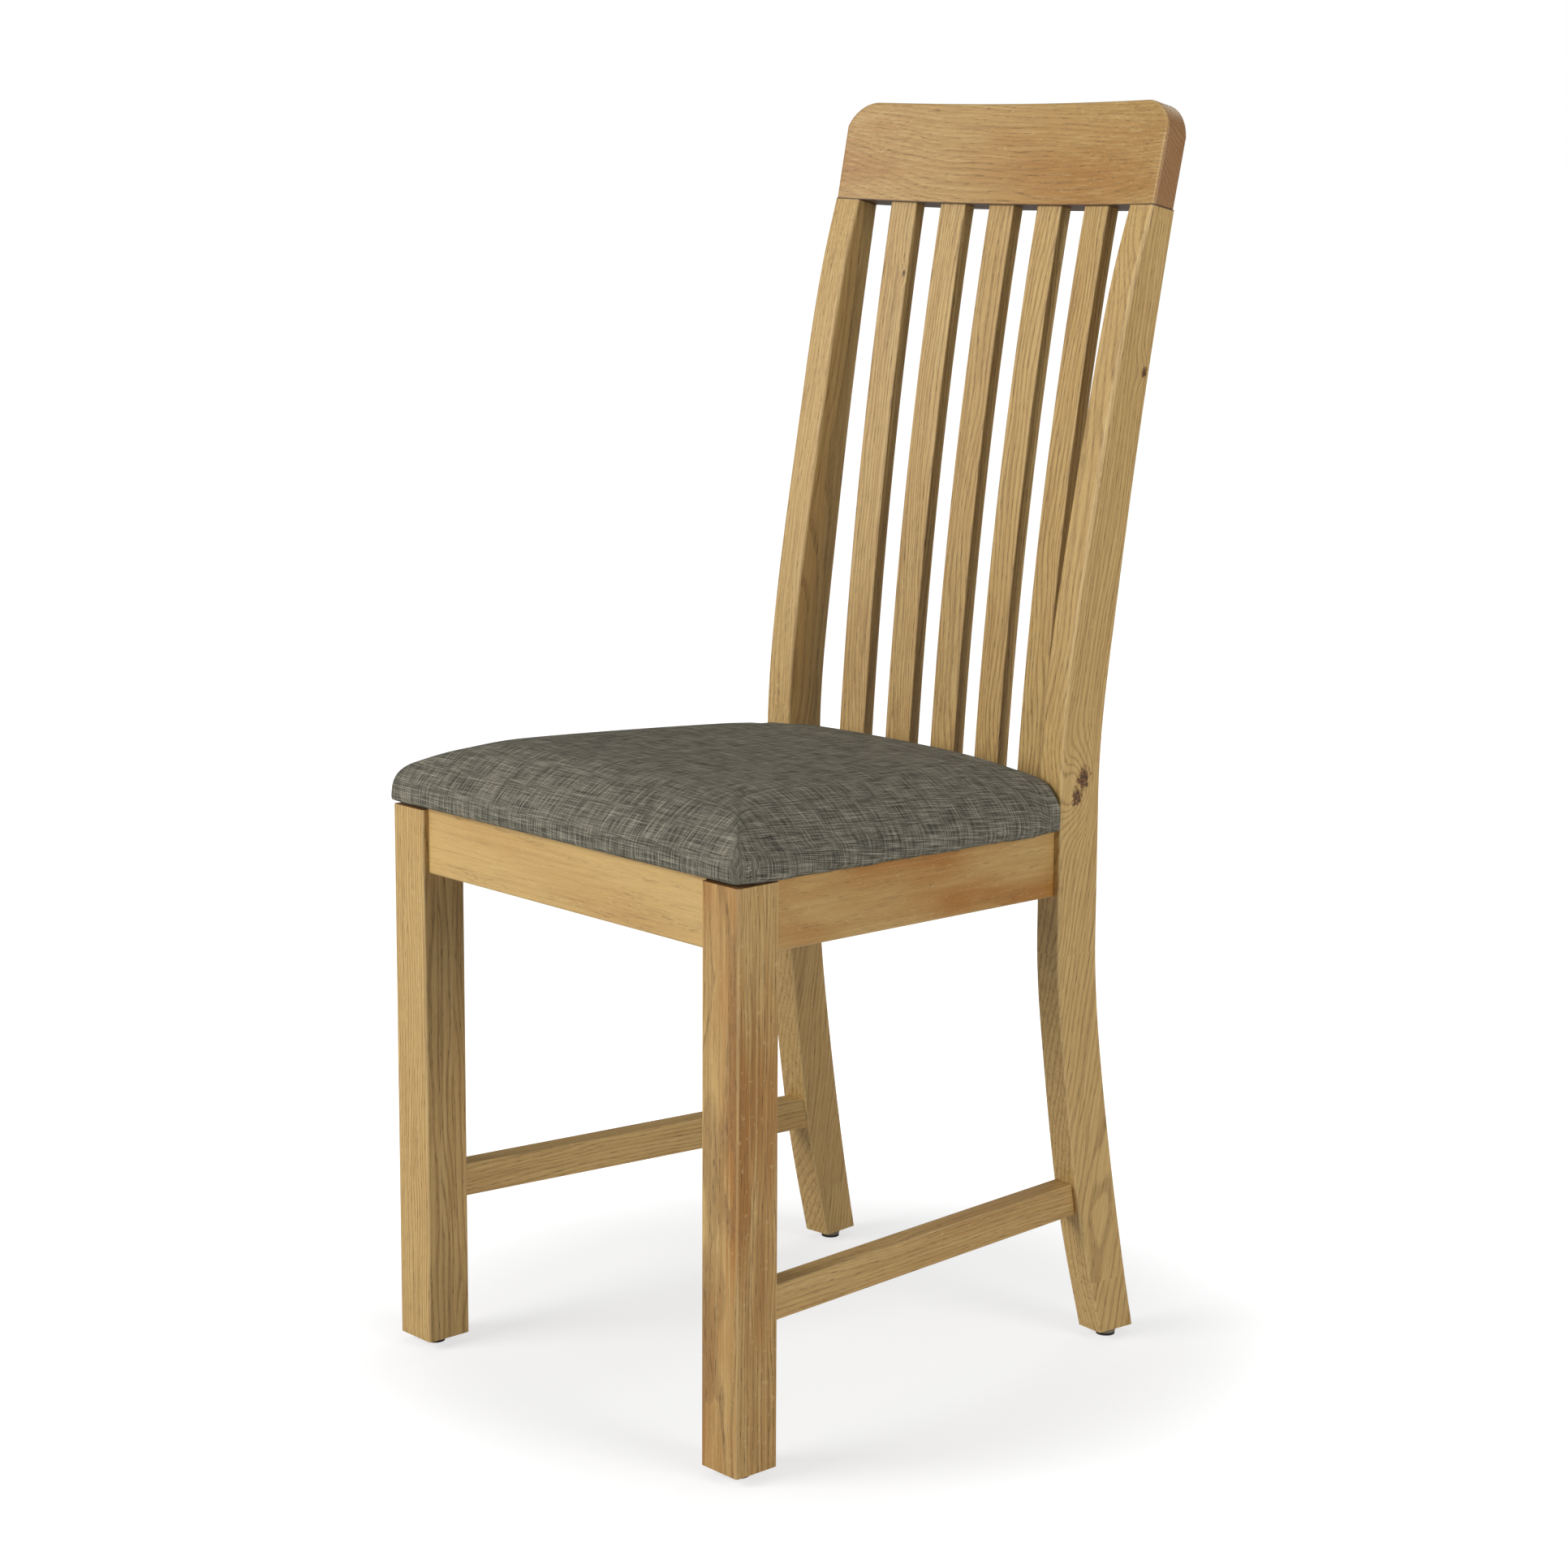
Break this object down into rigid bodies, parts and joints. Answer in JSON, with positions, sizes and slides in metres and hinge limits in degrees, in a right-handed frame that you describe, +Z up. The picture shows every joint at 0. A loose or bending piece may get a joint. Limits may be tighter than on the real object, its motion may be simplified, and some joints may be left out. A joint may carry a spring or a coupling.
{
  "type": "dining chair",
  "caption": "Upright oak dining chair with a tall slatted back, bowed crest rail, side stretchers and a padded fabric seat.",
  "frame": {"origin": "on the floor, at the centre of the footprint box", "axes": "+Z up; the sitter faces -Y; +X is to the right seen from the front"},
  "size_m": [0.4203, 0.5124, 1.0036],
  "materials": {
    "oak_leg": "satin lacquered oak, grain along the leg",
    "oak_rail": "satin lacquered oak, grain along the rail",
    "oak_crest": "satin lacquered oak, grain across the chair",
    "oak_slat": "satin lacquered oak, grain along the slat",
    "block_wood": "sawn hardwood, unfinished",
    "plywood": "plywood, unfinished",
    "dowel_wood": "fluted beech",
    "seat_fabric": "grey melange woven upholstery cloth",
    "seat_padding": "open cell foam",
    "dust_cloth": "thin non-woven cloth",
    "screw_steel": "zinc plated",
    "glide_plastic": "moulded plastic",
    "glide_pad": "dense felt"
  },
  "bodies": {
    "root": {"front_leg_left": "oak_leg", "back_leg_left": "oak_leg", "side_apron_left": "oak_rail", "side_stretcher_left": "oak_rail", "front_corner_block_left": "block_wood", "rear_corner_block_left": "block_wood", "glide_front_left": "glide_plastic", "glide_back_left": "glide_plastic", "front_leg_right": "oak_leg", "back_leg_right": "oak_leg", "side_apron_right": "oak_rail", "side_stretcher_right": "oak_rail", "front_corner_block_right": "block_wood", "rear_corner_block_right": "block_wood", "glide_front_right": "glide_plastic", "glide_back_right": "glide_plastic", "front_apron": "oak_rail", "rear_apron": "oak_rail", "crest_rail": "oak_crest", "back_slat_1": "oak_slat", "back_slat_2": "oak_slat", "back_slat_3": "oak_slat", "back_slat_4": "oak_slat", "back_slat_5": "oak_slat", "seat_cover": "seat_fabric", "seat_foam": "seat_padding", "seat_board": "plywood", "dust_cover": "dust_cloth", "rail_dowels": "dowel_wood", "crest_dowels": "dowel_wood", "block_screws": "screw_steel", "seat_screws": "screw_steel", "glide_nails": "screw_steel", "glide_pads": "glide_pad"}
  },
  "joints": []
}
